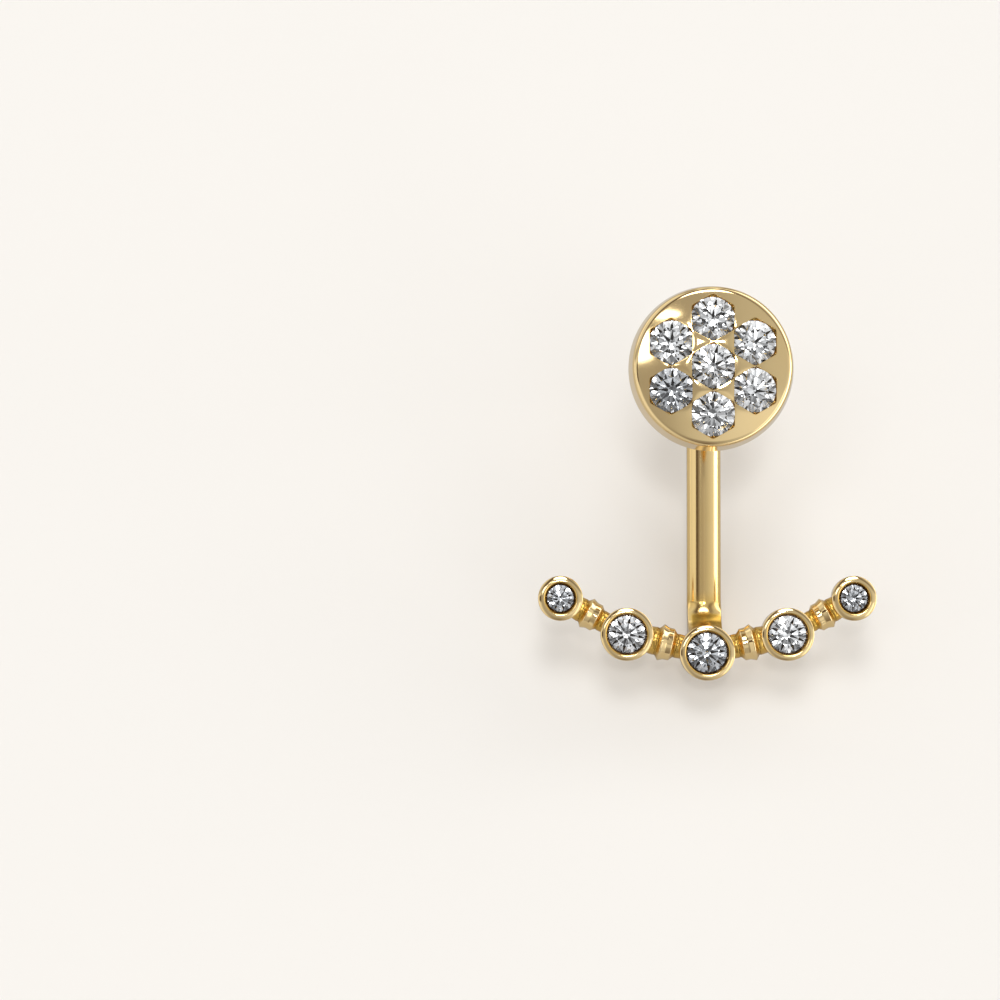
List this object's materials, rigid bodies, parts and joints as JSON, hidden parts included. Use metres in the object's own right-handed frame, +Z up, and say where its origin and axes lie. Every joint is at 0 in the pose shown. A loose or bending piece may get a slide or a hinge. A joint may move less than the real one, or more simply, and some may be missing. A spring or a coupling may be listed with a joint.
{
  "type": "ear jacket earring",
  "caption": "Domed round stud set with small brilliants, and a jacket that hangs from its post behind the lobe and ends in an arc of bezel-set stones.",
  "frame": {"origin": "centre of the disc's flat back, where the post leaves it and the disc meets the pierced lobe", "axes": "-Y the way the disc faces, +Y along the post into the ear, +Z up, +X to the right of someone facing the stones"},
  "size_m": [0.0136, 0.0121, 0.0155],
  "materials": {
    "gold": "high polish yellow gold",
    "stone": "clear, brilliant cut"
  },
  "bodies": {
    "stud": {"stud_setting": "gold", "disc_stone_1": "stone", "disc_stone_2": "stone", "disc_stone_3": "stone", "disc_stone_4": "stone", "disc_stone_5": "stone", "disc_stone_6": "stone", "disc_stone_7": "stone", "friction_back": "gold"},
    "jacket": {"jacket_frame": "gold", "jacket_stone_1": "stone", "jacket_stone_2": "stone", "jacket_stone_3": "stone", "jacket_stone_4": "stone", "jacket_stone_5": "stone"}
  },
  "joints": [
    {"name": "jacket_swing", "type": "hinge", "parent": "stud", "child": "jacket", "pos_m": [0, 0.00525, 0], "axis": [0, 1, 0], "continuous": true}
  ]
}
